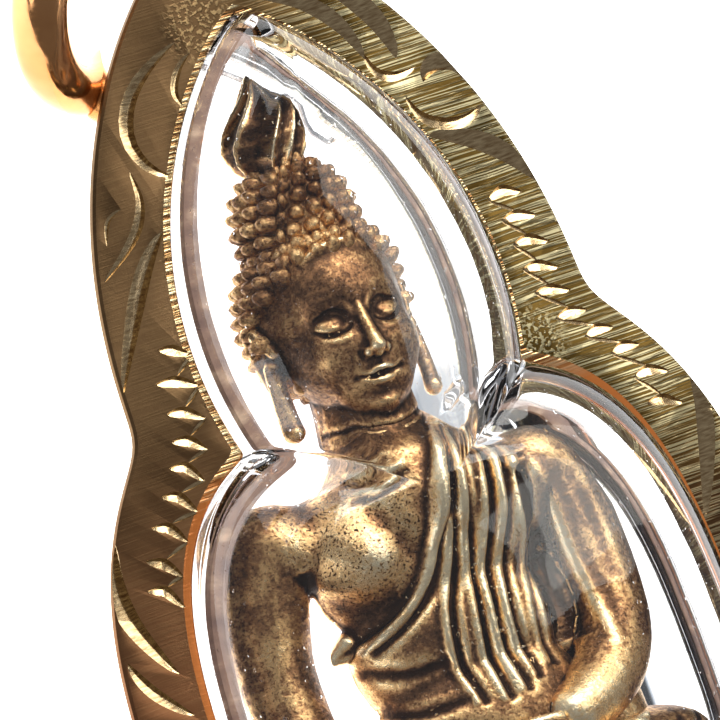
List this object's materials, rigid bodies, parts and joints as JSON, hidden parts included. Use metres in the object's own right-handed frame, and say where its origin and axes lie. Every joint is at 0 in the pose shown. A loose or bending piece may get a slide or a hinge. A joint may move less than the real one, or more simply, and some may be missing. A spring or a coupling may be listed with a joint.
{
  "type": "buddha amulet pendant",
  "caption": "Small cast seated figure in a clear two-part capsule, held in a lobed gold-toned metal case with a hanging ring soldered to its side.",
  "frame": {"origin": "on the surface that the back cover lies on, under the middle of the whole length and width", "axes": "+X to the right seen from the front, +Y along the case towards the hanging ring, +Z out of the front cover"},
  "size_m": [0.0246, 0.0446, 0.0114],
  "materials": {
    "case_gold": "brushed and hand engraved",
    "ring_gold": "polished",
    "clear_acrylic": "clear and polished",
    "figure_bronze": "cast, dark patina worn bright on the high places"
  },
  "bodies": {
    "root": {"case_frame": "case_gold", "back_plate": "case_gold", "hanging_ring": "ring_gold", "front_cover": "clear_acrylic", "back_cover": "clear_acrylic", "figure": "figure_bronze"}
  },
  "joints": []
}
